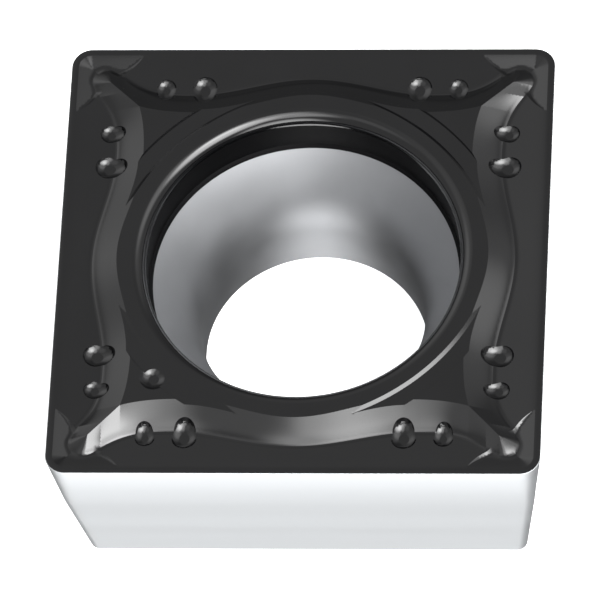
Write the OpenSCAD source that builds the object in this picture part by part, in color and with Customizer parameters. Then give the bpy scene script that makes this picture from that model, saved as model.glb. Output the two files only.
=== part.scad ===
// Square positive turning insert of sintered carbide with a pressed chip breaker.
// Millimetres. The origin is the centre of the seat face and +Z points out of the rake side.

/* [Blank] */
// Diameter of the circle that touches the four cutting edges
inscribed_d = 9.525; // [9:0.025:16]
// Height of the cutting edges above the seat
edge_h = 3.97; // [3.4:0.01:6]
// Relief angle of the flanks
relief_angle = 7; // [5:0.5:9]
// Corner radius at the cutting edge
corner_r = 0.4; // [0.35:0.05:0.6]
// Corner radius that the lower part of the flank keeps down to the seat
heel_r = 0.2; // [0.15:0.01:0.3]
// Bevel round the seat face
seat_bevel = 0.06; // [0.02:0.01:0.12]

/* [Land and rake] */
// Width of the flat land behind the cutting edge
land_w = 0.14; // [0.08:0.01:0.2]
// Angle at which the rake face falls from the land
rake_angle = 9.3; // [7:0.1:11]
// Angle at which the steeper corner facets fall from the land
corner_rake_angle = 17.5; // [15:0.5:20]
// Distance from the corner at which a corner facet starts on the land
facet_start = 1.42; // [1.3:0.01:1.55]
// Distance from the corner at which a corner facet meets the breaker wall
facet_end = 1.04; // [0.98:0.01:1.08]
// Distance of that meeting point from its own cutting edge
facet_end_set = 0.53; // [0.5:0.01:0.55]
// Distance by which the step beside a corner facet bows inwards
facet_bow = 0.035; // [0:0.005:0.05]

/* [Island] */
// Rise of the island above the cutting edges
island_rise = 0.165; // [0.1:0.005:0.22]
// Distance of the island's top from the cutting edge at mid-edge
top_mid_set = 1.15; // [1.1:0.01:1.25]
// Distance of the island's top from the cutting edge in the wave's valley
top_valley_set = 1.545; // [1.45:0.005:1.6]
// Distance of that valley from the corner, along the edge
top_valley_at = 2.61; // [2.4:0.01:2.8]
// Distance of the island's top corner from both edges
top_corner_set = 1.405; // [1.35:0.005:1.44]
// Distance of the wall's foot from the cutting edge at mid-edge
foot_mid_set = 0.65; // [0.6:0.01:0.75]
// Distance of the wall's foot from the cutting edge in the wave's valley
foot_valley_set = 0.99; // [0.9:0.01:1.05]
// Distance of the foot's valley from the corner, along the edge
foot_valley_at = 2.36; // [2.2:0.01:2.5]
// Half the width of the blend between the wall's foot and the rake
foot_blend = 0.05; // [0.02:0.01:0.07]

/* [Corner noses] */
// Distance from both edges at which the straight walls end on the ridge
ridge_end_set = 0.86; // [0.85:0.005:0.95]
// Distance of the nose's tip from both edges
tip_set = 0.805; // [0.78:0.005:0.83]
// Rise of the nose's tip above the cutting edges
tip_rise = 0.073; // [0.04:0.001:0.1]
// Distance from the corner at which the wall's foot turns into the nose
nose_join_at = 1.06; // [1.04:0.01:1.12]
// Distance of that turn from its own cutting edge
nose_join_set = 0.6; // [0.58:0.01:0.64]
// Radius of the nose's foot
nose_r = 0.273; // [0.25:0.001:0.29]
// Distance of the centre of that radius from both edges
nose_centre_set = 0.69; // [0.68:0.005:0.72]

/* [Dimples] */
// Distances of the dimples from the nearer corner, along the edge
dimple_at = [2.65, 1.89];
// Radii of the balls that the dimples' bowls follow
dimple_ball_r = [0.39, 0.31];
// Radii of the dimples where they meet the rake face
dimple_rim_r = [0.25, 0.2];
// Radii of the flat discs at the bottom of the dimples
dimple_disc_r = [0.1, 0.07];
// Distance of the dimples' centres from the cutting edge
dimple_set = 0.8; // [0.76:0.0025:0.84]
// Radius of the ball that the index mark's bowl follows
index_ball_r = 0.39; // [0.35:0.01:0.45]
// Radius of the round index mark, pressed into one corner pad
index_r = 0.27; // [0.22:0.01:0.3]
// Radius of the flat disc at the bottom of the index mark
index_disc_r = 0.1; // [0.06:0.01:0.14]
// Distance of the index mark from both edges of its corner
index_set = 2.02; // [1.95:0.01:2.1]

/* [Pad grooves] */
// Distance of a pad groove's middle from the insert's axis, on the diagonal
groove_mid_r = 3.74; // [3.7:0.01:3.8]
// Width of the groove's floor
groove_floor_w = 0.24; // [0.15:0.01:0.3]
// Width of each sloping groove side
groove_side_w = 0.09; // [0.05:0.01:0.12]
// Depth of the groove below the island's top
groove_depth = 0.055; // [0.03:0.005:0.08]
// Distance by which the groove's arc is centred behind the insert's axis
groove_bow = 0.8; // [0.5:0.05:1.2]
// Distance from the middle lines at which the groove's arc stops, outside the island
groove_from = 1; // [0.8:0.05:1.2]

/* [Screw hole] */
// Diameter of the bore for the clamping screw
bore_d = 4.4; // [4:0.05:4.8]
// Height of the bevel at the bore's lower end
bore_bevel = 0.25; // [0.1:0.01:0.4]
// Diameter at which the cone of the screw seat runs into the blend
seat_low_d = 5.02; // [4.9:0.01:5.2]
// Height of the cone's lower end
seat_low_h = 2.37; // [2.2:0.01:2.5]
// Diameter of the cone at its upper end
seat_top_d = 5.98; // [5.8:0.01:6]
// Height of the cone's upper end
seat_top_h = 3.15; // [3.05:0.01:3.25]
// Diameter of the mouth above the cone
mouth_d = 6.12; // [6.05:0.01:6.2]
// Radius of the rounded lip round the mouth
lip_r = 0.25; // [0.15:0.01:0.3]

/* [Hidden] */

half = inscribed_d / 2;
relief = tan(relief_angle);
axis_set = half - corner_r;
land_r = corner_r - land_w;
land_line = half - land_w;
heel_h = edge_h - (corner_r - heel_r) / relief;
heel_axis = half - (edge_h - seat_bevel) * relief - heel_r;

// Depths of the hidden floors below the cutting edges
dish_floor = 0.19;
facet_floor = 0.2;
island_floor = 0.26;
// Height that the cutters reach above the cutting edges
clear_h = 0.1;
// Distance that other cutters reach past the blank
reach = 1;
// Angle up a dimple's ball at which its side goes on straight
dimple_wide = 75;

top_valley_a = half - top_valley_at;
top_corner = half - top_corner_set;
foot_valley_a = half - foot_valley_at;
join_a = half - nose_join_at;
ridge_end = half - ridge_end_set;
tip = half - tip_set;
nose_centre = half - nose_centre_set;
// Exponent of the rise from a valley to its corner
flare = 2.6;
// Angles on the nose's foot, from where the wall joins it to the diagonal
nose_angles = [120, 101, 82, 63, 45];

wave_steps = 7;
flare_steps = 5;
ridge_steps = 3;

// A wave that falls from the middle to a valley and then rises to an end point
function wave(a, mid, valley_a, valley, end_a, end) =
    a <= valley_a
        ? valley + (mid - valley) * (1 + cos(180 * a / valley_a)) / 2
        : valley + (end - valley) * pow((a - valley_a) / (end_a - valley_a), flare);

// Distance from the insert's middle of the island's top and of the wall's foot
function top_b(a) =
    wave(a, half - top_mid_set, top_valley_a, half - top_valley_set, top_corner, top_corner);
function foot_b(a) =
    wave(a, half - foot_mid_set, foot_valley_a, half - foot_valley_set, join_a, half - nose_join_set);

// Height of a surface that falls from the land, relative to the cutting edges
function fall(b, angle) = -(land_line - b) * tan(angle);

// Height of the ridge that runs from the island's corner down to the nose's tip
function ridge_z(a) = island_rise + (tip_rise - island_rise) * (a - top_corner) / (tip - top_corner);

// How far a wall line's foot lies back from its top end, towards mid-edge
function lean(a) =
    a <= foot_valley_a ? 0
    : (ridge_end - join_a) * sin(90 * (a - foot_valley_a) / (ridge_end - foot_valley_a));

function top_point(a) = a <= top_corner ? [a, top_b(a), island_rise] : [a, a, ridge_z(a)];
function foot_point(a) = let (f = a - lean(a)) [f, foot_b(f), fall(foot_b(f), rake_angle)];
function nose_point(t) =
    let (x = nose_centre + nose_r * cos(t), y = nose_centre + nose_r * sin(t))
    [x, y, fall(max(x, y), corner_rake_angle)];

// A wall line: its top end, the start of the blend at its foot, the end of that blend carried on
// under the rake, and its root below that
function wall_line(top, foot, angle) =
    let (step = foot_blend / norm([foot.x - top.x, foot.y - top.y]))
    let (start = foot + step * (top - foot))
    let (x = foot.x + step * (foot.x - top.x), y = foot.y + step * (foot.y - top.y))
    let (toe = [x, y, fall(max(x, y), angle)])
    let (under = toe + (toe - start) / 2)
    [top, start, under, [under.x, under.y, -island_floor]];

tops = concat(
    [for (i = [0 : wave_steps]) i * foot_valley_a / wave_steps],
    [for (i = [1 : flare_steps]) foot_valley_a + i * (top_corner - foot_valley_a) / flare_steps],
    [for (i = [1 : ridge_steps]) top_corner + i * (ridge_end - top_corner) / ridge_steps]
);
corner_index = wave_steps + flare_steps;

// Wall lines of half an edge, from mid-edge to the diagonal
half_edge = concat(
    [for (a = tops) wall_line(top_point(a), foot_point(a), rake_angle)],
    [for (t = nose_angles) wall_line([tip, tip, tip_rise], nose_point(t), corner_rake_angle)]
);
last = len(half_edge) - 1;

// Wall lines of a whole edge, from the diagonal on its right to just before the next diagonal
edge = concat(
    [for (i = [last : -1 : 1]) half_edge[i]],
    [for (i = [0 : last - 1]) [for (p = half_edge[i]) [-p.x, p.y, p.z]]]
);

// The same line after n quarter turns about the axis
function quarter(p, n) = n == 0 ? p : quarter([-p.y, p.x, p.z], n - 1);
ring = [for (n = [0 : 3]) for (line = edge) [for (p = line) quarter(p, n)]];
count = len(ring);
rows = 4;

// Number of the line whose top end line i shares: all lines of a nose share its tip, and lines
// that mirror each other across a diagonal share their point on the ridge
function shared(i) =
    let (diagonal = round(i / len(edge)) * len(edge))
    let (k = i - diagonal)
    abs(k) < len(nose_angles) ? diagonal % count
    : k < 0 && -k <= last - corner_index ? (diagonal - k) % count
    : i;
function point_id(i, r) = (r == 0 ? shared(i) : i) * rows + r;
function on_top(i) = shared(i) == i && ring[i][0].z > island_rise - 0.0001;

// The two triangles between neighbouring wall lines, or one where they meet in a point
function strip(i, j, r) =
    let (a = point_id(i, r), b = point_id(j, r), c = point_id(j, r + 1), d = point_id(i, r + 1))
    a == b ? [[a, c, d]] : [[a, b, c], [a, c, d]];

// The triangles from a closed row of points to a point in its middle
function fan(middle, row) = [for (i = [0 : len(row) - 1]) [middle, row[i], row[(i + 1) % len(row)]]];

module wavy_island() {
    walls = [for (line = ring) for (p = line) p + [0, 0, edge_h]];
    middles = [[0, 0, edge_h + island_rise], [0, 0, edge_h - island_floor]];
    rim = [for (i = [count - 1 : -1 : 0]) if (on_top(i)) point_id(i, 0)];
    root = [for (i = [0 : count - 1]) point_id(i, rows - 1)];
    sides = [for (i = [0 : count - 1]) for (r = [0 : rows - 2]) each strip(i, (i + 1) % count, r)];
    faces = concat(fan(len(walls), rim), fan(len(walls) + 1, root), sides);
    polyhedron(points = concat(walls, middles), faces = faces, convexity = 6);
}

module at_corners(distance) {
    for (x = [-1, 1])
        for (y = [-1, 1])
            translate([x * distance, y * distance, 0])
                children();
}

// Pressed and ground blank: the corner cone narrows to the heel radius, which leans to the seat
module blank() {
    hull() {
        at_corners(axis_set)
            translate([0, 0, heel_h])
                cylinder(h = edge_h - heel_h, r1 = heel_r, r2 = corner_r, $fn = 48);
        at_corners(heel_axis)
            cylinder(h = seat_bevel, r1 = heel_r - seat_bevel, r2 = heel_r, $fn = 48);
    }
}

// Space above four faces that fall from the land and follow its rounded corners
module dish(angle, floor_depth) {
    cone_h = land_r * tan(angle);
    floor_half = land_line - floor_depth / tan(angle);
    hull() {
        at_corners(axis_set)
            translate([0, 0, edge_h - cone_h])
                cylinder(h = cone_h + clear_h, r1 = 0, r2 = land_r + clear_h / tan(angle), $fn = 48);
        translate([-floor_half, -floor_half, edge_h - floor_depth])
            cube([2 * floor_half, 2 * floor_half, floor_depth]);
    }
}

// Outline of one corner's facets, bounded by the step on either side of the nose
module facet_outline() {
    start = half - facet_start;
    end = [half - facet_end, half - facet_end_set];
    bend = [(start + end.x) / 2, (land_line + end.y) / 2 - facet_bow];
    inner = tip - nose_r;
    outer = half + reach;
    side = [[start, outer], [start, land_line], bend, end, [inner, inner]];
    polygon(concat(side, [for (i = [3 : -1 : 0]) [side[i].y, side[i].x]], [[outer, outer]]));
}

module corner_facets() {
    intersection() {
        dish(corner_rake_angle, facet_floor);
        for (turn = [0 : 90 : 270])
            rotate(turn)
                translate([0, 0, edge_h - reach])
                    linear_extrude(2 * reach)
                        facet_outline();
    }
}

// A round dimple: part of a ball that ends on a flat disc, carried on straight above its widest ring
module dimple(ball_r, rim_r, disc_r) {
    ball_z = sqrt(ball_r * ball_r - rim_r * rim_r);
    from = asin(disc_r / ball_r);
    bowl = [for (i = [0 : 5]) let (t = from + (dimple_wide - from) * i / 5)
        [ball_r * sin(t), ball_z - ball_r * cos(t)]];
    rotate_extrude($fn = 48)
        polygon(concat([[0, bowl[0].y]], bowl, [[bowl[5].x, reach], [0, reach]]));
}

// Two sizes of dimple along every edge, where the rake face meets the wall
module dimples() {
    b = half - dimple_set;
    for (turn = [0 : 90 : 270])
        for (side = [-1, 1])
            for (i = [0 : len(dimple_at) - 1])
                rotate(turn)
                    translate([side * (half - dimple_at[i]), b, edge_h + fall(b, rake_angle)])
                        dimple(dimple_ball_r[i], dimple_rim_r[i], dimple_disc_r[i]);
}

// Round mark pressed into the front left pad
module index_mark() {
    place = -(half - index_set);
    translate([place, place, edge_h + island_rise])
        dimple(index_ball_r, index_r, index_disc_r);
}

// Arched groove across the island behind one corner pad
module pad_groove() {
    arc_r = groove_mid_r + groove_bow;
    floor_z = island_rise - groove_depth;
    grow = groove_side_w / groove_depth;
    inner = arc_r - groove_floor_w / 2;
    outer = arc_r + groove_floor_w / 2;
    spread = grow * (groove_depth + clear_h);
    intersection() {
        translate([-groove_bow / sqrt(2), -groove_bow / sqrt(2), edge_h + floor_z])
            rotate_extrude($fn = 180)
                polygon([
                    [inner, 0], [outer, 0],
                    [outer + spread, groove_depth + clear_h], [inner - spread, groove_depth + clear_h]
                ]);
        translate([groove_from, groove_from, edge_h])
            cube([half, half, reach]);
    }
}

// The screw hole: rounded lip, mouth, cone, blend into the bore, bore and lower bevel
module screw_hole() {
    top_z = edge_h + island_rise;
    bore_r = bore_d / 2;
    low_r = seat_low_d / 2;
    top_r = seat_top_d / 2;
    mouth_r = mouth_d / 2;
    slope = atan((top_r - low_r) / (seat_top_h - seat_low_h));
    blend_r = (low_r - bore_r) / (1 - cos(slope));
    blend_z = seat_low_h - blend_r * sin(slope);
    blend = [for (i = [0 : 4]) let (t = slope * i / 4)
        [bore_r + blend_r * (1 - cos(t)), blend_z + blend_r * sin(t)]];
    lip = [for (t = [0 : 15 : 75]) [mouth_r + lip_r * (1 - cos(t)), top_z - lip_r + lip_r * sin(t)]];
    // The lip's last stretch is carried on above the island's top
    past = 2 * [mouth_r + lip_r, top_z] - lip[len(lip) - 1];
    rotate_extrude($fn = 120)
        polygon(concat(
            [[0, -reach], [bore_r + bore_bevel + reach, -reach], [bore_r, bore_bevel]],
            blend,
            [[top_r, seat_top_h], [mouth_r, seat_top_h + mouth_r - top_r]],
            lip,
            [past, [past.x, top_z + reach], [0, top_z + reach]]
        ));
}

module insert() {
    color("#3a3c40")
        difference() {
            union() {
                difference() {
                    blank();
                    dish(rake_angle, dish_floor);
                    corner_facets();
                }
                wavy_island();
            }
            for (turn = [0 : 90 : 270])
                rotate(turn)
                    pad_groove();
            dimples();
            index_mark();
            screw_hole();
        }
}

insert();
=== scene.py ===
"""Square carbide turning insert: a skin over the packed solid, finishes, floor, lights, camera."""

import math

import bpy
import numpy as np
from bpy.props import FloatProperty, FloatVectorProperty, IntProperty, PointerProperty
from mathutils import Matrix, Vector
from mathutils.geometry import delaunay_2d_cdt


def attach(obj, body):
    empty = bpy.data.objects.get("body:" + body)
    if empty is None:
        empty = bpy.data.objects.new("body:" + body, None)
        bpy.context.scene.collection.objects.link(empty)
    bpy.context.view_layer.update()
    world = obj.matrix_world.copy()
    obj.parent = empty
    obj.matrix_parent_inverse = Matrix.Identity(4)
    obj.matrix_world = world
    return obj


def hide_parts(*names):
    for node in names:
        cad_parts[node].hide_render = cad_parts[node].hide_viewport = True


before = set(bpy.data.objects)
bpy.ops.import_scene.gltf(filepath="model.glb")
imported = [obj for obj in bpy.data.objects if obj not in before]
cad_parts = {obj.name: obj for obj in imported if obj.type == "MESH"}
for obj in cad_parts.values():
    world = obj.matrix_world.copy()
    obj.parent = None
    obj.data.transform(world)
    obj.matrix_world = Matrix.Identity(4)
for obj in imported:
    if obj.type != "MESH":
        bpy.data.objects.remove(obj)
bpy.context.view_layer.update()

bl_info = {
    "name": "Carbide Turning Insert",
    "version": (1, 0, 0),
    "blender": (4, 5, 0),
    "location": "3D View > Sidebar > Insert",
    "description": "Builds a square carbide insert with a pressed chip breaker and its studio",
    "category": "Add Mesh",
}

MM = 0.001
SQRT2 = math.sqrt(2.0)

# The finishes, in the order of the piece's materials; the last is the painted shade of the hole's mouth
COATED, GROUND, SATIN, MOUTH_SHADE = range(4)

# How many times as fast as its ball a dimple rises where it cuts the wall
WALL_CUT_RISE = 3.0
# Softness of the corner facets' mitre under the nose, as a share of the distance from the tip
MITRE_SOFTNESS = 0.4
# Distance to either side at which heights are compared for a surface direction
NORMAL_STEP = 0.0002 * MM
# Points on each crease as it is first drawn, and rays and points by which a rim is searched for
LINE_POINTS, RIM_RAYS, RAY_POINTS, NOTCH_POINTS = 400, 97, 200, 41
# How far past its inner end a step is drawn before it is cut off at the wall's foot
STEP_OVERRUN = 1.4
# A step's crest starts at this distance from the land, and its foot at this drop
LEAST_GAP, LEAST_DROP = 0.02 * MM, 0.012 * MM
# Rounds in which the place of a step's foot is worked out
FOOT_ROUNDS = 8
# Shares of the mesh step: between rows of equal triangles, along creases, kept clear beside them
ROW_SHARE, CREASE_SHARE, CLEAR_SHARE = 0.866, 0.75, 0.55
# This share of the columns covers that share of an eighth, from mid-edge
WIDE_COLUMNS = (0.19, 0.37)
# How far into its face a corner's shading normal is taken
SHADING_SHIFT = 0.15
# Faces that meet within this angle, in degrees, are smooth
SMOOTH_WITHIN = 32.0
# Points on the lip's arc and on the arc between cone and bore, rings of the seat face
LIP_POINTS, BLEND_POINTS, SEAT_RINGS = 8, 7, 4
# Places of the edge hone's rings on its quarter turn, in degrees
HONE_TURNS = (0.0, 22.0, 45.0, 67.0, 90.0)


def length(name, description, millimetres):
    """A size property in metres, from its value in millimetres."""
    return FloatProperty(
        name=name,
        description=description,
        default=millimetres * MM,
        min=0.0,
        precision=6,
        unit="LENGTH",
    )


def angle(name, description, degrees):
    """An angle property in radians, from its value in degrees."""
    return FloatProperty(
        name=name,
        description=description,
        default=math.radians(degrees),
        subtype="ANGLE",
        unit="ROTATION",
    )


def share(name, description, value):
    """A factor property between 0 and 1."""
    return FloatProperty(
        name=name, description=description, default=value, min=0.0, max=1.0, subtype="FACTOR"
    )


def tint(name, description, value):
    """A colour property."""
    return FloatVectorProperty(
        name=name, description=description, default=value, size=3, min=0.0, max=1.0, subtype="COLOR"
    )


class BlankSizes(bpy.types.PropertyGroup):
    """The ground blank: edges, flanks, corners and seat."""

    inscribed_d: length("Inscribed circle", "Circle that touches the four cutting edges", 9.525)
    edge_h: length("Edge height", "Height of the cutting edges above the seat", 3.97)
    relief_angle: angle("Relief angle", "Lean of the flanks", 7.0)
    corner_r: length("Corner radius", "Radius of the corners at the cutting edge", 0.4)
    heel_r: length("Heel radius", "Radius of the lower part of the corners", 0.2)
    seat_bevel: length("Seat bevel", "Bevel round the seat face", 0.06)
    hone_r: length("Edge hone", "Rounding of the cutting edge", 0.012)


class RakeSizes(bpy.types.PropertyGroup):
    """The land and the rake faces inside it."""

    land_w: length("Land width", "Level land behind the cutting edge", 0.14)
    land_blend: length("Land blend", "Softness of the turn from the land to the rake face", 0.12)
    roll_angle: angle("Edge roll", "Outward lean of the land at the cutting edge", 8.0)
    roll_w: length("Roll width", "Distance over which that lean fades", 0.15)
    rake_angle: angle("Rake angle", "Fall of the rake face from the land", 9.3)
    mid_rake_angle: angle("Rake angle at mid-edge", "Steeper fall at the middle of an edge", 10.6)
    corner_rake_angle: angle("Corner rake angle", "Fall of the corner facets", 17.5)
    step_start: length("Step start", "Distance of the step's outer end from the corner", 1.42)
    step_end: length("Step end", "Distance of the step's inner end from the corner", 1.04)
    step_end_set: length("Step end set", "Distance of that end from its own edge", 0.53)
    step_bow: length("Step bow", "How far the step bows away from the corner", 0.035)
    step_angle: angle("Step angle", "Slope of the step down to the corner facet", 31.0)
    step_fillet: length("Step fillet", "Softness of the step's foot", 0.012)


class IslandSizes(bpy.types.PropertyGroup):
    """The raised island with its wavy wall and corner noses."""

    rise: length("Rise", "Rise of the island above the cutting edges", 0.165)
    top_mid_set: length("Top at mid-edge", "Distance of the top from the edge at mid-edge", 1.15)
    top_valley_set: length("Top in the valley", "Distance of the top's valley from the edge", 1.545)
    top_valley_at: length("Top valley place", "Distance of the top's valley from the corner", 2.61)
    top_corner_set: length("Top corner", "Distance of the top's corner from both edges", 1.405)
    foot_mid_set: length("Foot at mid-edge", "Distance of the foot from the edge at mid-edge", 0.65)
    foot_valley_set: length("Foot in the valley", "Distance of the foot's valley from the edge", 0.99)
    foot_valley_at: length("Foot valley place", "Place of the foot's valley from the corner", 2.36)
    join_at: length("Nose join place", "Place of the foot's turn to the nose", 1.06)
    join_set: length("Nose join", "Distance of that turn from its own edge", 0.6)
    tip_set: length("Nose tip", "Distance of the nose's tip from both edges", 0.805)
    tip_rise: length("Tip rise", "Rise of the nose's tip above the cutting edges", 0.073)
    nose_r: length("Nose radius", "Radius of the nose's foot", 0.273)
    nose_set: length("Nose centre", "Distance of that radius's centre from both edges", 0.69)
    foot_fillet: length("Foot fillet", "Softness of the wall's foot", 0.06)
    wall_bulge: share("Wall bulge", "How much steeper the wall is just above its foot", 1.0)
    bulge_reach: share("Bulge reach", "Share of the wall over which that fades", 0.16)


class DetailSizes(bpy.types.PropertyGroup):
    """Round dimples, pad grooves and the index mark."""

    big_at: length("Large dimple place", "Distance of the large dimples from the corner", 2.65)
    big_ball: length("Large dimple ball", "Radius of the ball that made the large dimples", 0.39)
    big_rim: length("Large dimple rim", "Radius of the large dimples at the rake face", 0.238)
    big_disc: length("Large dimple disc", "Radius of the flat disc at their bottom", 0.1)
    small_at: length("Small dimple place", "Distance of the small dimples from the corner", 1.89)
    small_ball: length("Small dimple ball", "Radius of the ball that made the small dimples", 0.31)
    small_rim: length("Small dimple rim", "Radius of the small dimples at the rake face", 0.19)
    small_disc: length("Small dimple disc", "Radius of the flat disc at their bottom", 0.07)
    dimple_set: length("Dimple set", "Distance of the dimples from the cutting edge", 0.85)
    dimple_long: share("Dimple length", "How much longer the dimples are towards the wall", 0.33)
    groove_mid_r: length("Groove place", "Radius of a pad groove's middle on the diagonal", 3.7625)
    groove_floor_w: length("Groove floor", "Width of the groove's floor", 0.315)
    groove_side_w: length("Groove side", "Width of the sloping side near the hole", 0.065)
    groove_outer_w: length("Groove outer side", "Width of the steeper side near the corner", 0.02)
    groove_depth: length("Groove depth", "Depth below the island's top", 0.045)
    groove_bow: length("Groove bow", "Distance of the arc's centre behind the axis", 0.8)
    mark_ball: length("Mark ball", "Radius of the ball that made the index mark", 0.39)
    mark_r: length("Mark radius", "Radius of the index mark at the island's top", 0.27)
    mark_disc: length("Mark disc", "Radius of the flat disc at its bottom", 0.1)
    mark_set: length("Mark set", "Distance of the mark from both edges", 2.02)


class HoleSizes(bpy.types.PropertyGroup):
    """The countersunk screw hole."""

    bore_d: length("Bore", "Diameter of the bore", 4.4)
    bore_bevel: length("Bore bevel", "Height of the bevel at the bore's lower end", 0.25)
    low_d: length("Cone, lower end", "Diameter of the cone at its lower end", 5.02)
    low_h: length("Cone, lower height", "Height of the cone's lower end", 2.37)
    top_d: length("Cone, upper end", "Diameter of the cone at its upper end", 5.98)
    top_h: length("Cone, upper height", "Height of the cone's upper end", 3.15)
    mouth_d: length("Mouth", "Diameter of the short wall above the cone", 6.12)
    lip_r: length("Lip radius", "Radius of the rounded lip", 0.25)


class Finish(bpy.types.PropertyGroup):
    """Colours and roughness of the coated, ground and bare surfaces, and of the mouth's painted shade.
    """

    coating: tint("Coating", "Dark coating of the rake side", (0.001, 0.001, 0.0012))
    coating_rough: share("Coating roughness", "Roughness of the coating", 0.14)
    # Painted shade: this near-black colour, with hardly any gloss, keeps the hole's mouth dark
    mouth: tint("Mouth", "Dull black of the hole's mouth", (0.002, 0.002, 0.0022))
    mouth_rough: share("Mouth roughness", "Roughness of the mouth", 0.45)
    ground: tint("Ground flank", "Ground carbide of the flanks", (0.425, 0.436, 0.446))
    ground_rough: share("Flank roughness", "Roughness of the flanks", 0.6)
    satin: tint("Satin carbide", "Bare carbide of hole and seat face", (0.3, 0.305, 0.315))
    satin_rough: share("Satin roughness", "Roughness of the bare carbide", 0.55)


class StageLook(bpy.types.PropertyGroup):
    """Floor, sky and lights."""

    floor: tint("Floor", "Colour of the floor", (0.9, 0.9, 0.9))
    floor_glow: FloatProperty(
        name="Floor glow", description="Light that the floor gives of itself", default=0.7, min=0.0
    )
    sky: FloatProperty(
        name="Sky", description="Strength of the even light from all round", default=1.0, min=0.0
    )
    lights: FloatProperty(
        name="Lights", description="Strength of all the studio lights", default=1.0, min=0.0
    )
    relief_step: length("Relief step", "Distance between the points of the relief's mesh", 0.04)
    columns: IntProperty(
        name="Columns", description="Columns of faces in an eighth", default=104, min=16
    )


def along_octant(half, corner_r, where):
    """Points of a rounded square's eighth, from mid-side to the diagonal, by share of its length.

    The eighth is a straight stretch of half the side less the radius, then an arc of 45 degrees.
    """
    straight = half - corner_r
    run = where * (straight + corner_r * math.pi / 4)
    turn = np.maximum(run - straight, 0.0) / corner_r
    return np.minimum(run, straight) + corner_r * np.sin(turn), straight + corner_r * np.cos(turn)


def round_the_square(a, b):
    """The whole ring from one eighth: mirrored in the diagonal, in the middle line, then turned.

    a runs along an edge from its middle and b outward from the insert's middle.
    """
    quarter_x = np.concatenate([-a[..., ::-1], a[..., 1:]], axis=-1)
    quarter_y = np.concatenate([b[..., ::-1], b[..., 1:]], axis=-1)
    xs, ys = [], []
    x, y = quarter_x[..., :-1], quarter_y[..., :-1]
    for _ in range(4):
        xs.append(x)
        ys.append(y)
        x, y = y, -x
    return np.concatenate(xs, axis=-1), np.concatenate(ys, axis=-1)


def soft_max(p, q, width):
    """The larger of two heights, rounded where they differ by less than width."""
    near = np.maximum(width - np.abs(p - q), 0.0)
    return np.maximum(p, q) + near * near / (4 * np.maximum(width, 1e-9))


def wave(a, mid, valley_a, valley, end_a, end, flare=2.6):
    """A line that falls as a cosine from mid to a valley, then rises as a power of the way."""
    falling = valley + (mid - valley) * (1 + np.cos(np.pi * a / valley_a)) / 2
    way = np.clip((a - valley_a) / (end_a - valley_a), 0.0, None)
    return np.where(a <= valley_a, falling, valley + (end - valley) * way**flare)


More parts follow.
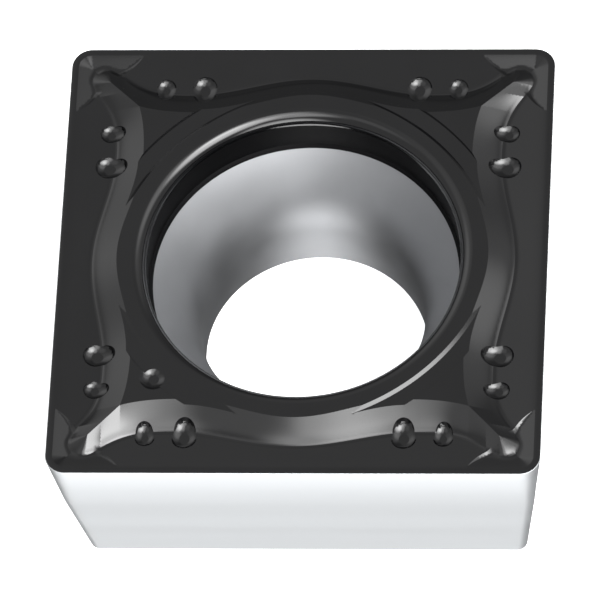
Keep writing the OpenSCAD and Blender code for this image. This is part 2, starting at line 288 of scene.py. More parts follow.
class Relief:
    """The pressed rake side as a height above the cutting edges, for whole arrays of points.

    Every point is folded into one eighth: a along the edge from its middle, b outward.
    """

    def __init__(self, scene):
        self.blank = scene.insert_blank
        self.rake = scene.insert_rake
        self.island = scene.insert_island
        self.detail = scene.insert_detail
        self.half = self.blank.inscribed_d / 2
        self.axis = self.half - self.blank.corner_r
        self.land = self.half - self.rake.land_w
        self.top_corner = self.half - self.island.top_corner_set
        self.tip = self.half - self.island.tip_set
        self.join = self.half - self.island.join_at
        self.nose = self.half - self.island.nose_set
        self.groove_r = self.detail.groove_mid_r + self.detail.groove_bow

    def fold(self, x, y):
        x, y = np.abs(x), np.abs(y)
        return np.minimum(x, y), np.maximum(x, y)

    def gap(self, a, b):
        """Distance inside the land's inner line, which rounds the corners."""
        beyond = np.hypot(np.maximum(a - self.axis, 0.0), b - self.axis)
        return self.land - np.where(a > self.axis, self.axis + beyond, b)

    def fall(self, gap):
        """The distance inside the land, eased in as a branch of a hyperbola, without a sharp line."""
        return (gap + np.hypot(gap, self.rake.land_blend)) / 2

    def roll(self, a, b):
        """The land's rounding: a rise that starts at the edge with the roll angle and fades."""
        inside = np.maximum(self.gap(a, b) + self.rake.land_w, 0.0)
        return math.tan(self.rake.roll_angle) * inside * np.exp(-inside / self.rake.roll_w)

    def rake_height(self, a, b):
        """A face that falls from the land by the rake angle, which is steeper near mid-edge."""
        valley = self.half - self.island.foot_valley_at
        mid = (1 + np.cos(np.pi * np.minimum(a / valley, 1.0))) / 2
        steeper = (self.rake.mid_rake_angle - self.rake.rake_angle) * mid
        fall = self.fall(self.gap(a, b)) * np.tan(self.rake.rake_angle + steeper)
        return self.roll(a, b) - fall

    def facet_height(self, a, b):
        """The steeper faces in a corner, which turn as a cone round the corner's axis."""
        fall = np.maximum(self.gap(a, b), 0.0) * math.tan(self.rake.corner_rake_angle)
        return self.roll(a, b) - fall

    def past_step(self, a, b):
        """Distance on the corner's side of the bowed line from the land to the wall's foot."""
        start = np.array([self.half - self.rake.step_start, self.land])
        end = np.array([self.half - self.rake.step_end, self.half - self.rake.step_end_set])
        run = np.linalg.norm(end - start)
        ahead = (end - start) / run
        along = (a - start[0]) * ahead[0] + (b - start[1]) * ahead[1]
        across = (b - start[1]) * ahead[0] - (a - start[0]) * ahead[1]
        way = np.clip(along / run, 0.0, 1.0)
        return across + 4 * self.rake.step_bow * way * (1 - way)

    def floor_height(self, a, b):
        """Land, rake faces and corner facets, with the sloping step between the last two."""
        rake = self.rake_height(a, b)
        facet = self.facet_height(a, b)
        past = self.past_step(a, b)
        step = rake - np.maximum(past, 0.0) * math.tan(self.rake.step_angle)
        soft = np.minimum(self.rake.step_fillet, rake - facet)
        lowered = soft_max(facet, step, np.maximum(soft, 0.0))
        return np.where((past > 0) & (self.gap(a, b) > 0), lowered, rake)

    def foot_line(self, a):
        """The wall's foot: the wave, a straight stretch from the join, then the nose's arc."""
        s = self.island
        wavy = wave(
            a,
            self.half - s.foot_mid_set,
            self.half - s.foot_valley_at,
            self.half - s.foot_valley_set,
            self.join,
            self.half - s.join_set,
        )
        arc_a = self.nose - s.nose_r / 2
        arc_b = self.nose + s.nose_r * math.sqrt(3) / 2
        way = np.clip((a - self.join) / (arc_a - self.join), 0.0, 1.0)
        straight = (self.half - s.join_set) + way * (arc_b - (self.half - s.join_set))
        arc = self.nose + np.sqrt(np.maximum(s.nose_r**2 - (a - self.nose) ** 2, 0.0))
        return np.where(a <= self.join, wavy, np.where(a <= arc_a, straight, arc))

    def foot_height(self, a):
        """Height of the wall's foot, which passes from the rake to the corner facet at the nose."""
        foot = self.foot_line(a)
        nose_start = self.nose - self.island.nose_r / 2
        to_nose = np.clip((a - self.join) / (nose_start - self.join), 0.0, 1.0)
        rake = self.rake_height(np.minimum(a, foot), foot)
        facet = self.facet_height(np.minimum(a, foot), foot)
        return rake + (facet - rake) * to_nose

    def top_line(self, a):
        """The wall's upper edge: the wave, then the ridge on the diagonal."""
        s = self.island
        wavy = wave(
            a,
            self.half - s.top_mid_set,
            self.half - s.top_valley_at,
            self.half - s.top_valley_set,
            self.top_corner,
            self.top_corner,
        )
        return np.where(a <= self.top_corner, wavy, a)

    def top_height(self, a):
        """The island's level, then the ridge that runs down to the nose's tip."""
        s = self.island
        way = (a - self.top_corner) / (self.tip - self.top_corner)
        return s.rise + (s.tip_rise - s.rise) * np.maximum(way, 0.0)

    def eased(self, way):
        """A share of the wall's rise: a line plus an exponential that makes its foot steeper."""
        reach = self.island.bulge_reach
        bulge = self.island.wall_bulge * reach
        return (way + bulge * (1 - np.exp(-np.maximum(way, 0.0) / reach))) / (1 + bulge)

    def wall_height(self, a, b):
        """Eased lines across the edge from the foot to the top, and from the nose's tip down."""
        foot, top = self.foot_line(a), self.top_line(a)
        low, high = self.foot_height(a), self.top_height(a)
        wall = low + (high - low) * self.eased((foot - b) / np.maximum(foot - top, 1e-7))
        out_a, out_b = a - self.tip, b - self.tip
        far = np.maximum(np.hypot(out_a, out_b), 1e-9)
        centre = self.nose - self.tip
        ahead = (out_a + out_b) / far * centre
        hit = ahead + np.sqrt(np.maximum(self.island.nose_r**2 - 2 * centre**2 + ahead**2, 0.0))
        hit_b = self.tip + soft_max(out_a, out_b, MITRE_SOFTNESS * far) / far * hit
        base = -(self.land - hit_b) * math.tan(self.rake.corner_rake_angle)
        cone = base + (self.island.tip_rise - base) * self.eased(1 - far / hit)
        return np.where(a < self.tip, wall, cone)

    def groove_height(self, x, y):
        """The island's top, lowered in an arc behind each corner: a floor between two slopes."""
        s = self.detail
        back = s.groove_bow / SQRT2
        off = np.hypot(np.abs(x) + back, np.abs(y) + back) - self.groove_r
        side = np.where(off > 0, s.groove_outer_w, s.groove_side_w)
        cut = np.clip(1 - (np.abs(off) - s.groove_floor_w / 2) / side, 0.0, 1.0) * s.groove_depth
        return self.island.rise - cut

    def bowls(self, x, y):
        """Every kind of dimple: distance from its axis, radius of its flat disc, its bowl's height.

        A bowl is the underside of a ball, centred sqrt(ball^2 - rim^2) above the face around it.
        Above that face, where a dimple cuts the wall, it rises some times as fast.
        """
        s = self.detail
        a, b = self.fold(x, y)
        centre_b = self.half - s.dimple_set
        mark = self.half - s.mark_set
        kinds = []
        for place, ball, rim, disc in (
            (s.big_at, s.big_ball, s.big_rim, s.big_disc),
            (s.small_at, s.small_ball, s.small_rim, s.small_disc),
        ):
            centre_a = self.half - place
            face = float(self.rake_height(centre_a, centre_b))
            across = (b - centre_b) / np.where(b < centre_b, 1 + s.dimple_long, 1.0)
            kinds.append((np.hypot(a - centre_a, across), ball, rim, disc, face))
        off_mark = np.hypot(x + mark, y + mark)
        kinds.append((off_mark, s.mark_ball, s.mark_r, s.mark_disc, self.island.rise))
        found = []
        for off, ball, rim, disc, face in kinds:
            centre = face + math.sqrt(ball**2 - rim**2)
            under = ball**2 - np.maximum(off, disc) ** 2
            bowl = centre - np.sqrt(np.maximum(under, 0.0))
            bowl = bowl + (WALL_CUT_RISE - 1) * np.maximum(bowl - face, 0.0)
            found.append((off, disc, np.where(under > 0, bowl, 1.0)))
        return found

    def plain_height(self, x, y):
        """The floor, or the island where it stands higher, with a soft foot between them."""
        a, b = self.fold(x, y)
        floor = self.floor_height(a, b)
        island = np.minimum(self.wall_height(a, b), self.groove_height(x, y))
        return soft_max(floor, island, np.where(self.gap(a, b) > 0, self.island.foot_fillet, 0.0))

    def height(self, x, y):
        """The whole relief: the plain one, lowered where a dimple is pressed in."""
        z = self.plain_height(x, y)
        for _, _, bowl in self.bowls(x, y):
            z = np.minimum(z, bowl)
        return z

    def normal(self, x, y):
        """The surface's direction (-dz/dx, -dz/dy, 1), from the heights close to either side."""
        east = self.height(x + NORMAL_STEP, y) - self.height(x - NORMAL_STEP, y)
        north = self.height(x, y + NORMAL_STEP) - self.height(x, y - NORMAL_STEP)
        raw = np.stack([-east, -north, np.full_like(east, 2 * NORMAL_STEP)], -1)
        return raw / np.linalg.norm(raw, axis=-1, keepdims=True)

    def step_lines(self, way):
        """A step's crest and its foot, from near the land to the wall's foot."""
        start = np.array([self.half - self.rake.step_start, self.land])
        end = np.array([self.half - self.rake.step_end, self.half - self.rake.step_end_set])
        ahead = end - start
        aside = np.array([-ahead[1], ahead[0]]) / np.linalg.norm(ahead)
        bow = 4 * self.rake.step_bow * way * np.maximum(1 - way, 0.0)
        crest = start + way[:, None] * ahead - bow[:, None] * aside
        foot = crest
        for _ in range(FOOT_ROUNDS):
            drop = np.maximum(self.rake_height(*foot.T) - self.facet_height(*foot.T), 0.0)
            foot = crest + (drop / math.tan(self.rake.step_angle))[:, None] * aside
        crest = crest[self.gap(*crest.T) > LEAST_GAP]
        foot = foot[drop > LEAST_DROP]
        return [until(line, line[:, 1] - self.foot_line(line[:, 0])) for line in (crest, foot)]

    def groove_lines(self, way):
        """A groove's four arcs, from the diagonal to the wall, and its notch in the wall."""
        s = self.detail
        narrow = s.groove_floor_w / 2
        rims = [-narrow - s.groove_side_w, -narrow, narrow, narrow + s.groove_outer_w]
        notch = np.linspace(rims[0], rims[-1], NOTCH_POINTS)
        radii = self.groove_r + np.concatenate([rims, notch])
        turn = np.radians(45.0 + 40.0 * way)
        back = s.groove_bow / SQRT2
        points = radii[:, None, None] * np.stack([np.cos(turn), np.sin(turn)], -1) - back
        inside = self.wall_height(points[..., 0], points[..., 1])
        inside = inside - self.groove_height(points[..., 0], points[..., 1]) + 1e-9
        arcs = [until(points[i], inside[i]) for i in range(4)]
        return [*arcs, crossings(points[4:], inside[4:])]

    def dimple_lines(self, marked):
        """The rims and discs of the dimples; the index mark's are half rings on the diagonal."""
        s = self.detail
        sign = -1.0 if marked else 1.0
        row = self.half - s.dimple_set
        kinds = [(self.half - s.big_at, row, s.big_ball, s.big_disc, 0.0, 360.0)]
        kinds.append((self.half - s.small_at, row, s.small_ball, s.small_disc, 0.0, 360.0))
        if marked:
            mark = self.half - s.mark_set
            kinds.append((mark, mark, s.mark_ball, s.mark_disc, 45.0, 225.0))
        lines = []
        for kind, (a, b, ball, disc, first, last) in enumerate(kinds):
            turn = np.radians(np.linspace(first, last, RIM_RAYS))
            ring = np.stack([np.cos(turn), np.sin(turn)], -1)
            reach = np.linspace(disc, 0.98 * ball, RAY_POINTS)
            points = np.array([a, b]) + ring[:, None, :] * reach[:, None]
            if kind < 2:
                points[..., 1] += (points[..., 1] - b) * s.dimple_long * (points[..., 1] < b)
            x, y = sign * points[..., 0], sign * points[..., 1]
            inside = self.plain_height(x, y) - self.bowls(x, y)[kind][2]
            lines += [crossings(points, inside), points[:, 0]]
        return lines

    def creases(self, marked):
        """All lines of an eighth of the relief that faces must not cross, as rows of points."""
        s = self.island
        way = np.linspace(0.0, 1.0, LINE_POINTS)
        foot_a, top_a = way * self.join, way * self.top_corner
        turn = np.radians(120.0 - 75.0 * way)
        nose = self.nose + s.nose_r * np.stack([np.cos(turn), np.sin(turn)], -1)
        tip = np.array([self.tip, self.tip])
        lines = [
            np.stack([foot_a, self.foot_line(foot_a)], -1),
            np.array([[self.join, self.half - s.join_set], nose[0]]),
            nose,
            np.array([tip, [self.tip, float(self.foot_line(self.tip))]]),
            np.stack([top_a, self.top_line(top_a)], -1),
        ]
        lines += self.step_lines(way * STEP_OVERRUN)
        return lines + self.groove_lines(way) + self.dimple_lines(marked)


def crossings(points, value):
    """On each line of points, the place where its value first turns negative."""
    after = np.argmax(value < 0, axis=1)
    line = np.arange(len(value))
    before = value[line, after - 1]
    part = before / (before - value[line, after])
    start, end = points[line, after - 1], points[line, after]
    return start + part[:, None] * (end - start)


def until(points, value):
    """The first stretch of a line, up to the place where its value turns negative."""
    return np.vstack([points[: np.argmax(value < 0)], crossings(points[None], value[None])])


def even(points, step):
    """Points evenly along a line, about a step apart; its ends stay."""
    runs = np.append(0.0, np.cumsum(np.linalg.norm(np.diff(points, axis=0), axis=1)))
    at = np.linspace(0.0, runs[-1], max(round(runs[-1] / step), 1) + 1)
    return np.stack([np.interp(at, runs, points[:, 0]), np.interp(at, runs, points[:, 1])], -1)


def through(stops, step):
    """Evenly spaced points on a straight line, through all the stops on it."""
    stops = stops[np.argsort(stops.sum(1))]
    return np.concatenate([even(stops[i : i + 2], step) for i in range(len(stops) - 1)])


def fill_points(relief, lines, lip, step):
    """A lattice of equal triangles over an eighth, without points outside or close to its lines."""
    columns = round(relief.half / step)
    row, column = np.mgrid[0 : round(relief.half / step / ROW_SHARE), 0:columns]
    a, b = ((column + 0.5 * (row % 2)) * step).ravel(), (row * step * ROW_SHARE).ravel()
    clear = CLEAR_SHARE * step
    inside = (a > clear) & (b - a > clear * SQRT2)
    inside &= (np.hypot(a, b) > lip + clear) & (relief.gap(a, b) > clear)
    a, b = a[inside], b[inside]
    offs = [np.hypot(a - line[:, :1], b - line[:, 1:]).min(axis=0) for line in lines]
    return np.stack([a, b], -1)[np.min(offs, axis=0) > clear]


def relief_eighth(relief, outer, inner, marked, step):
    """Points and triangles of an eighth, between its two boundaries, with edges along the creases.

    They are a constrained Delaunay triangulation. The points are in millimetres, rounded to single
    precision as that function does, so that the eighths and the rest of the skin meet exactly.
    """
    lines = [even(line, step * CREASE_SHARE) for line in relief.creases(marked)]
    ends = np.concatenate([line[[0, -1]] for line in lines] + [outer[[0, -1]], inner[[0, -1]]])
    middle = ends[ends[:, 0] < 1e-9]
    diagonal = ends[ends[:, 1] - ends[:, 0] < 1e-9]
    middle[:, 0] = 0.0
    diagonal[:, 1] = diagonal[:, 0]
    lines = [outer, inner, through(middle, step), through(diagonal, step), *lines]
    starts = np.cumsum([0] + [len(line) for line in lines])
    edges = [
        np.stack([np.arange(i, j - 1), np.arange(i + 1, j)], -1) for i, j in zip(starts, starts[1:])
    ]
    points = np.concatenate([*lines, fill_points(relief, lines, np.hypot(*inner[0]), step)]) / MM
    corners = [Vector(point) for point in points.tolist()]
    found = delaunay_2d_cdt(corners, np.concatenate(edges).tolist(), [], 1, 1e-5)
    points, faces = np.array(found[0]), np.array(found[2])
    one, two = (points[faces[:, i]] - points[faces[:, 0]] for i in (1, 2))
    turned = one[:, 0] * two[:, 1] - one[:, 1] * two[:, 0] < 0
    faces[turned] = faces[turned][:, ::-1]
    return points * MM, faces


def column_shares(count):
    """Places of the columns in an eighth: wide apart near mid-edge, close towards the corner."""
    steps = np.linspace(0.0, 1.0, count + 1)
    columns, covered = WIDE_COLUMNS
    return np.interp(steps, [0.0, columns, 1.0], [0.0, covered, 1.0])


def rounded_rings(halves, radii, where):
    """Rings of rounded squares, one row for each half width and corner radius."""
    a, b = along_octant(np.asarray(halves)[:, None], np.asarray(radii)[:, None], where[None, :])
    return round_the_square(a, b)


# The eight places of an eighth: how x and y follow from a and b; the last two hold the index mark
EIGHTHS = (
    ((1, 0), (0, 1)),
    ((-1, 0), (0, 1)),
    ((1, 0), (0, -1)),
    ((0, 1), (1, 0)),
    ((0, -1), (1, 0)),
    ((0, 1), (-1, 0)),
    ((-1, 0), (0, -1)),
    ((0, -1), (-1, 0)),
)


def relief_skin(relief, where, lip, step):
    """The relief's points, triangles and corner normals, from the land to the hole's lip."""
    land_r = relief.blank.corner_r - relief.rake.land_w
    outer = np.stack(along_octant(relief.land, land_r, where), -1)
    inner = np.stack(along_octant(lip, lip, where), -1)
    outer[-1], inner[-1] = outer[-1, 0], inner[-1, 0]
    made = [relief_eighth(relief, outer, inner, marked, step) for marked in (False, True)]
    points, faces, shading, count = [], [], [], 0
    for number, place in enumerate(EIGHTHS):
        flat, triangles = made[number > 5]
        flat = flat @ np.array(place, float).T
        if np.linalg.det(place) < 0:
            triangles = triangles[:, ::-1]
        corners = flat[triangles]
        inside = corners + SHADING_SHIFT * (corners.mean(axis=1, keepdims=True) - corners)
        shading.append(relief.normal(inside[..., 0], inside[..., 1]))
        points.append(np.column_stack([flat, relief.blank.edge_h + relief.height(*flat.T)]))
        faces.append(triangles + count)
        count += len(flat)
    return np.concatenate(points), np.concatenate(faces), np.concatenate(shading)


def hole_profile(hole, top):
    """Radius and height down the hole: lip arc, mouth, ledge, cone, blend arc, bore and bevel."""
    mouth, cone_top = hole.mouth_d / 2, hole.top_d / 2
    cone_low, bore = hole.low_d / 2, hole.bore_d / 2
    turn = np.radians(np.linspace(90.0, 0.0, LIP_POINTS))[1:]
    lip_r = mouth + hole.lip_r - hole.lip_r * np.cos(turn)
    lip_z = top - hole.lip_r + hole.lip_r * np.sin(turn)
    ledge = hole.top_h + mouth - cone_top
    slope = math.atan((cone_top - cone_low) / (hole.top_h - hole.low_h))
    blend_r = (cone_low - bore) / (1 - math.cos(slope))
    blend_low = hole.low_h - blend_r * math.sin(slope)
    bend = np.linspace(slope, 0.0, BLEND_POINTS)
    arc_r = bore + blend_r * (1 - np.cos(bend))
    arc_z = blend_low + blend_r * np.sin(bend)
    radii = [*lip_r, mouth, cone_top, *arc_r, bore, bore + hole.bore_bevel]
    heights = [*lip_z, ledge, hole.top_h, *arc_z, hole.bore_bevel, 0.0]
    return np.array(radii), np.array(heights), len(lip_r)


def lower_skin(scene, relief, where):
    """The rest of the skin as rows of rings: lip, hole, seat face, flank, edge hone and land.

    Also a finish for each strip between two rows, and the first row of the land's strip.
    """
    blank, hole = scene.insert_blank, scene.insert_hole
    top = blank.edge_h + relief.island.rise
    radii, heights, coated = hole_profile(hole, top)
    radii, heights = np.append(hole.mouth_d / 2 + hole.lip_r, radii), np.append(top, heights)

    lean = math.tan(blank.relief_angle)
    seat_half = relief.half - (blank.edge_h - blank.seat_bevel) * lean
    heel_h = blank.edge_h - (blank.corner_r - blank.heel_r) / lean
    heel_half = relief.half - (blank.edge_h - heel_h) * lean
    face_half, face_r = seat_half - blank.seat_bevel, blank.heel_r - blank.seat_bevel
    ways = np.arange(1, SEAT_RINGS + 1) / SEAT_RINGS
    turn = np.radians(HONE_TURNS)
    hone_out = blank.hone_r * (np.cos(turn) - 1)

    halves = [
        radii,
        radii[-1] + (face_half - radii[-1]) * ways,
        [seat_half, heel_half],
        relief.half + hone_out,
        [relief.land],
    ]
    rounds = [
        radii,
        radii[-1] + (face_r - radii[-1]) * ways,
        [blank.heel_r, blank.heel_r],
        blank.corner_r + hone_out,
        [blank.corner_r - relief.rake.land_w],
    ]
    levels = [
        heights,
        np.zeros(SEAT_RINGS),
        [blank.seat_bevel, heel_h],
        blank.edge_h - blank.hone_r * (1 - np.sin(turn)),
        [blank.edge_h],
    ]
    x, y = rounded_rings(np.concatenate(halves), np.concatenate(rounds), where)
    grid = np.stack([x, y, np.broadcast_to(np.concatenate(levels)[:, None], x.shape)], -1).copy()
    for row in (0, -1):
        grid[row, :, 2] = blank.edge_h + relief.height(*as_stored(grid[row, :, :2]).T)
    ledge = coated + 2
    finish = np.full(len(grid) - 1, GROUND, np.int32)
    finish[:coated] = COATED
    # The mouth's wall and ledge get the painted shade: near-black with hardly any gloss
    finish[coated:ledge] = MOUTH_SHADE
    finish[ledge : len(radii) + SEAT_RINGS] = SATIN
    finish[-1] = COATED
    return grid, finish


def as_stored(metres):
    """The same places, rounded to single precision in millimetres."""
    return (metres / MM).astype(np.float32).astype(float) * MM


def insert_surface(scene):
    """The closed skin: points, triangles, four-sided faces, then finishes and corner normals.

    The relief's normals are exact, so its lines stay crisp; zeros leave the mesh's own.
    """
    relief = Relief(scene)
    stage = scene.insert_stage
    where = column_shares(stage.columns)
    lip = scene.insert_hole.mouth_d / 2 + scene.insert_hole.lip_r
    points, triangles, shading = relief_skin(relief, where, lip, stage.relief_step)
    grid, strips = lower_skin(scene, relief, where)
    rows, columns = grid.shape[:2]
    index = np.arange(rows * columns).reshape(rows, columns) + len(points)
    beside = np.roll(index, -1, 1)
    fours = np.stack([index[:-1], index[1:], beside[1:], beside[:-1]], -1)
    everything = np.concatenate([points, grid.reshape(-1, 3)])
    land = everything[fours[-1]]
    inside = land + SHADING_SHIFT * (land.mean(axis=1, keepdims=True) - land)
    four_shading = np.zeros((rows - 1, columns, 4, 3))
    four_shading[-1] = relief.normal(inside[..., 0], inside[..., 1])
    kept, number = np.unique((everything / MM).astype(np.float32), axis=0, return_inverse=True)
    number = number.ravel()
    coated = np.full(len(triangles), COATED, np.int32)
    finish = np.concatenate([coated, np.repeat(strips, columns)])
    normals = np.concatenate([shading.reshape(-1, 3), four_shading.reshape(-1, 3)])
    return kept * MM, number[triangles], number[fours.reshape(-1, 4)], finish, normals


def skin_mesh(name, points, triangles, fours, finish, normals):
    """The mesh, smooth apart from its sharp edges, with its finishes and corner normals."""
    mesh = bpy.data.meshes.new(name)
    mesh.from_pydata(points, [], triangles.tolist() + fours.tolist())
    mesh.polygons.foreach_set("material_index", finish)
    mesh.polygons.foreach_set("use_smooth", np.ones(len(finish), bool))
    mesh.set_sharp_from_angle(angle=math.radians(SMOOTH_WITHIN))
    mesh.normals_split_custom_set(normals)
    mesh.update()
    return mesh


def shader_tree(name):
    """A new material's node tree, its shader and its Object coordinates."""
    material = bpy.data.materials.new(name)
    material.use_nodes = True
    nodes = material.node_tree.nodes
    shader = nodes["Principled BSDF"]
    place = nodes.new("ShaderNodeTexCoord").outputs["Object"]
    return material, nodes, material.node_tree.links, shader, place


def noise(nodes, links, place, scale, detail, stretch=(1.0, 1.0, 1.0)):
    """A noise pattern on the piece's own coordinates, stretched along its axes."""
    mapping = nodes.new("ShaderNodeMapping")
    mapping.inputs["Scale"].default_value = stretch
    links.new(place, mapping.inputs["Vector"])
    texture = nodes.new("ShaderNodeTexNoise")
    texture.inputs["Scale"].default_value = scale
    texture.inputs["Detail"].default_value = detail
    links.new(mapping.outputs["Vector"], texture.inputs["Vector"])
    return texture.outputs["Fac"]


def spread(nodes, links, value, low, high):
    """Spreads a noise value over a range."""
    ranger = nodes.new("ShaderNodeMapRange")
    ranger.inputs["From Min"].default_value = 0.3
    ranger.inputs["From Max"].default_value = 0.7
    ranger.inputs["To Min"].default_value = low
    ranger.inputs["To Max"].default_value = high
    links.new(value, ranger.inputs["Value"])
    return ranger.outputs["Result"]


def two_tones(nodes, links, value, dark, light):
    """A colour between two tones, by a noise value."""
    ramp = nodes.new("ShaderNodeValToRGB")
    ramp.color_ramp.elements[0].position = 0.3
    ramp.color_ramp.elements[1].position = 0.7
    ramp.color_ramp.elements[0].color = (*dark, 1.0)
    ramp.color_ramp.elements[1].color = (*light, 1.0)
    links.new(value, ramp.inputs["Fac"])
    return ramp.outputs["Color"]


def grain_bump(nodes, links, shader, value, height, strength):
    """A fine surface grain."""
    bump = nodes.new("ShaderNodeBump")
    bump.inputs["Strength"].default_value = strength
    bump.inputs["Distance"].default_value = height
    links.new(value, bump.inputs["Height"])
    links.new(bump.outputs["Normal"], shader.inputs["Normal"])


def mottled_material(name, colour, tones, rough, pattern, grain, bump):
    """A finish with a faint pattern in its colour and roughness, and a fine grain; and its shader.

    tones are the darkest and lightest shares of the colour, rough the roughness and how far it
    strays, pattern and grain the scale, detail and stretch of their noise, and bump the grain's
    height and strength.
    """
    material, nodes, links, shader, place = shader_tree(name)
    mottle = noise(nodes, links, place, *pattern)
    dark, light = (tuple(c * tone for c in colour) for tone in tones)
    links.new(two_tones(nodes, links, mottle, dark, light), shader.inputs["Base Color"])
    roughness = spread(nodes, links, mottle, rough[0] - rough[1], rough[0] + rough[1])
    links.new(roughness, shader.inputs["Roughness"])
    grain_bump(nodes, links, shader, noise(nodes, links, place, *grain), *bump)
    return material, shader


def coating_material(look):
    """Thin dark glossy coating: nearly black, with a very fine grain and slightly uneven gloss."""
    return mottled_material(
        "black_coating",
        look.coating,
        tones=(1.0, 1.35),
        rough=(look.coating_rough, 0.015),
        pattern=(900.0, 4.0),
        grain=(26000.0, 3.0),
        bump=(0.0004 * MM, 0.25),
    )[0]


def ground_material(look):
    """Bright ground carbide: faint level bands along the flanks and a fine grinding grain."""
    material, shader = mottled_material(
        "ground_carbide",
        look.ground,
        tones=(0.955, 1.0),
        rough=(look.ground_rough, 0.03),
        pattern=(1400.0, 3.0, (0.02, 0.02, 1.0)),
        grain=(16000.0, 3.0, (0.08, 0.08, 1.0)),
        bump=(0.0006 * MM, 0.3),
    )
    shader.inputs["Metallic"].default_value = 1.0
    return material


def satin_material(look):
    """Satin carbide in the hole and on the seat face: grey with a fine even grain."""
    material, shader = mottled_material(
        "satin_carbide",
        look.satin,
        tones=(0.93, 1.0),
        rough=(look.satin_rough, 0.03),
        pattern=(1100.0, 5.0),
        grain=(14000.0, 4.0),
        bump=(0.0012 * MM, 0.35),
    )
    shader.inputs["Metallic"].default_value = 1.0
    return material


def mouth_shade_material(look):
    """Painted shade in the hole's mouth: near-black with a fine grain and hardly any gloss, so the mouth
    stays dark.
    """
    material, shader = mottled_material(
        "mouth_painted_shade",
        look.mouth,
        tones=(1.0, 1.35),
        rough=(look.mouth_rough, 0.03),
        pattern=(900.0, 4.0),
        grain=(20000.0, 3.0),
        bump=(0.0006 * MM, 0.25),
    )
    # Hardly any gloss, which keeps the painted shade in the mouth dark
    shader.inputs["Specular IOR Level"].default_value = 0.05
    return material


def link(obj):
    """Puts an object into the scene."""
    bpy.context.scene.collection.objects.link(obj)
    return obj


class INSERT_OT_body(bpy.types.Operator):
    """Build the insert's skin with its three finishes and the painted shade of its mouth"""

    bl_idname = "insert.body"
    bl_label = "Carbide insert"

    def execute(self, context):
        scene = context.scene
        mesh = skin_mesh("carbide_insert", *insert_surface(scene))
        for make in (coating_material, ground_material, satin_material, mouth_shade_material):
            mesh.materials.append(make(scene.insert_finish))
        piece = link(bpy.data.objects.new("carbide_insert", mesh))
        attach(piece, "root")
        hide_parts("insert")
        return {"FINISHED"}


def floor_material(look):
    """A plain pale floor that glows a little, so it stays white under the insert."""
    material, nodes, links, shader, place = shader_tree("pale_floor")
    haze = noise(nodes, links, place, 6.0, 2.0)
    dull, pale = (tuple(c * tone for c in look.floor) for tone in (0.985, 1.0))
    links.new(two_tones(nodes, links, haze, dull, pale), shader.inputs["Base Color"])
    shader.inputs["Roughness"].default_value = 0.9
    shader.inputs["Emission Color"].default_value = (1.0, 1.0, 1.0, 1.0)
    shader.inputs["Emission Strength"].default_value = look.floor_glow
    return material


def facing(azimuth, elevation):
    """The direction at an azimuth from +X and an elevation above the floor, in degrees."""
    turn, rise = math.radians(azimuth), math.radians(elevation)
    flat = math.cos(rise)
    return Vector((math.cos(turn) * flat, math.sin(turn) * flat, math.sin(rise)))


def low_glow(strength):
    """A wide sun from the front, below the floor's level: it fills the flank and the screw hole."""
    azimuth, elevation, width, brightness = LOW_GLOW
    data = bpy.data.lights.new("low_glow", "SUN")
    data.angle = math.radians(width)
    data.energy = strength * brightness * math.pi * math.sin(data.angle / 2) ** 2
    lamp = link(bpy.data.objects.new("low_glow", data))
    lamp.rotation_euler = facing(azimuth, elevation).to_track_quat("Z", "Y").to_euler()
    return lamp


def sky_nodes(world, look):
    """A soft studio: even light by height, and round patches that fade smoothly to their rims."""
    world.use_nodes = True
    nodes, links = world.node_tree.nodes, world.node_tree.links
    direction = nodes.new("ShaderNodeTexCoord").outputs["Generated"]
    parts = nodes.new("ShaderNodeSeparateXYZ")
    links.new(direction, parts.inputs["Vector"])
    height = nodes.new("ShaderNodeMapRange")
    height.inputs["From Min"].default_value = -1.0
    links.new(parts.outputs["Z"], height.inputs["Value"])
    level = nodes.new("ShaderNodeValToRGB")
    ramp = level.color_ramp.elements
    for at, _ in SKY_LEVELS[1:-1]:
        ramp.new((at + 1) / 2)
    for stop, (at, value) in zip(ramp, SKY_LEVELS):
        stop.color = (value * look.sky, value * look.sky, value * look.sky, 1.0)
    links.new(height.outputs["Result"], level.inputs["Fac"])
    total = level.outputs["Color"]
    for azimuth, elevation, reach, brightness in SOFT_PATCHES:
        toward = nodes.new("ShaderNodeVectorMath")
        toward.operation = "DOT_PRODUCT"
        toward.inputs[1].default_value = facing(azimuth, elevation)
        links.new(direction, toward.inputs[0])
        patch = nodes.new("ShaderNodeMapRange")
        patch.interpolation_type = "SMOOTHSTEP"
        patch.inputs["From Min"].default_value = math.cos(math.radians(reach))
        patch.inputs["To Max"].default_value = brightness * look.lights
        links.new(toward.outputs["Value"], patch.inputs["Value"])
        both = nodes.new("ShaderNodeMath")
        links.new(total, both.inputs[0])
        links.new(patch.outputs["Result"], both.inputs[1])
        total = both.outputs["Value"]
    least = nodes.new("ShaderNodeMath")
    least.operation = "MAXIMUM"
    least.inputs[1].default_value = LEAST_SKY
    links.new(total, least.inputs[0])
    links.new(least.outputs["Value"], nodes["Background"].inputs["Strength"])
    nodes["Background"].inputs["Color"].default_value = (1.0, 1.0, 1.0, 1.0)


# Each patch of soft light: azimuth, elevation and reach in degrees, brightness. Ten rows are results of
# a separate fit of the lights to the photo's brightness. The fourth and the last two are given one by
# one.
SOFT_PATCHES = (
    (-35, 51, 29, 12.0),
    (-89, 56, 21, 4.4),
    (-66, 76, 16, 3.9),
    (-31, 65, 14, 6.0),
    (14, 55, 26, 1.95),
    (135, 27, 25, 0.86),
    (102, 36, 22, 0.37),
    (145, 47, 30, 0.41),
    (-149, 63, 18, 0.61),
    (38, 42, 24, 0.38),
    (96, 6, 61, -0.46),
    (-80, 3, 30, 7.5),
    (-92, -14, 17, 5.0),
)

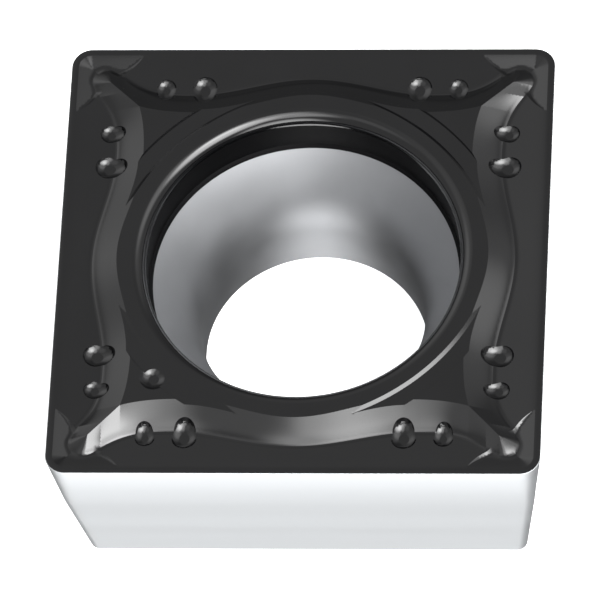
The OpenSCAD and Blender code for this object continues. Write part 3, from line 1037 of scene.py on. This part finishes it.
# Sky brightness at each height of the direction, from straight down (-1) to straight up (1). The highest
# value, 0.689, is a result of the same fit.
SKY_LEVELS = ((-1.0, 0.02), (-0.3, 0.03), (-0.08, 0.12), (0.0, 0.5), (0.1, 0.689), (1.0, 0.689))
LEAST_SKY = 0.02

# The low sun: azimuth, elevation and width in degrees, brightness
LOW_GLOW = (-97, -28, 44, 6.0)

# Half the floor's side, and how far it lies below the seat face so that the two don't mix
FLOOR_HALF, FLOOR_DROP = 0.6, 0.02 * MM

# The camera's place and target, its roll in radians, and its lens and sensor in millimetres. Its place,
# the target's first two numbers, the roll and the lens are results of a separate fit to the photo.
CAMERA_PLACE = Vector((15.568, -85.026, 149.544)) * MM
CAMERA_TARGET = Vector((-0.2206, 0.2107, 2.0)) * MM
CAMERA_ROLL = -0.15763
CAMERA_LENS, CAMERA_SENSOR = 524.43, 36.0


class INSERT_OT_stage(bpy.types.Operator):
    """Set up the floor, the lights and the camera"""

    bl_idname = "insert.stage"
    bl_label = "Stage"

    def execute(self, context):
        scene = context.scene
        look = scene.insert_stage
        sides = ((-1, -1), (1, -1), (1, 1), (-1, 1))
        corners = [(x * FLOOR_HALF, y * FLOOR_HALF, -FLOOR_DROP) for x, y in sides]
        mesh = bpy.data.meshes.new("floor")
        mesh.from_pydata(corners, [], [(0, 1, 2, 3)])
        mesh.materials.append(floor_material(look))
        floor = link(bpy.data.objects.new("floor", mesh))
        floor.visible_glossy = False
        floor.visible_shadow = False
        low_glow(look.lights)
        scene.world = bpy.data.worlds.new("studio")
        sky_nodes(scene.world, look)
        scene.view_settings.view_transform = "Standard"
        self.camera(scene)
        return {"FINISHED"}

    def camera(self, scene):
        """The camera looks at its target and is rolled about its line of sight."""
        data = bpy.data.cameras.new("camera")
        data.sensor_width = CAMERA_SENSOR
        data.lens = CAMERA_LENS
        data.clip_start = 0.01
        data.clip_end = 10.0
        ahead = (CAMERA_TARGET - CAMERA_PLACE).normalized()
        level = ahead.cross(Vector((0.0, 0.0, 1.0))).normalized()
        above = level.cross(ahead)
        right = level * math.cos(CAMERA_ROLL) + above * math.sin(CAMERA_ROLL)
        up = above * math.cos(CAMERA_ROLL) - level * math.sin(CAMERA_ROLL)
        turn = Matrix((right, up, -ahead)).transposed()
        camera = link(bpy.data.objects.new("camera", data))
        camera.matrix_world = Matrix.Translation(CAMERA_PLACE) @ turn.to_4x4()
        scene.camera = camera


class INSERT_PT_panel(bpy.types.Panel):
    """The insert's operators and sizes in the 3D view's sidebar"""

    bl_label = "Carbide insert"
    bl_idname = "INSERT_PT_panel"
    bl_space_type = "VIEW_3D"
    bl_region_type = "UI"
    bl_category = "Insert"

    def draw(self, context):
        for operator in OPERATORS:
            self.layout.operator(operator.bl_idname)
        for name, group in GROUPS.items():
            box = self.layout.box()
            box.label(text=group.__doc__)
            for key in group.__annotations__:
                box.prop(getattr(context.scene, name), key)


GROUPS = {
    "insert_blank": BlankSizes,
    "insert_rake": RakeSizes,
    "insert_island": IslandSizes,
    "insert_detail": DetailSizes,
    "insert_hole": HoleSizes,
    "insert_finish": Finish,
    "insert_stage": StageLook,
}
OPERATORS = (INSERT_OT_body, INSERT_OT_stage)
CLASSES = (*GROUPS.values(), *OPERATORS, INSERT_PT_panel)


def register():
    for cls in CLASSES:
        bpy.utils.register_class(cls)
    for name, group in GROUPS.items():
        setattr(bpy.types.Scene, name, PointerProperty(type=group))


def unregister():
    for name in GROUPS:
        delattr(bpy.types.Scene, name)
    for cls in reversed(CLASSES):
        bpy.utils.unregister_class(cls)


def main():
    register()
    bpy.ops.insert.body()
    bpy.ops.insert.stage()


if __name__ == "__main__":
    main()
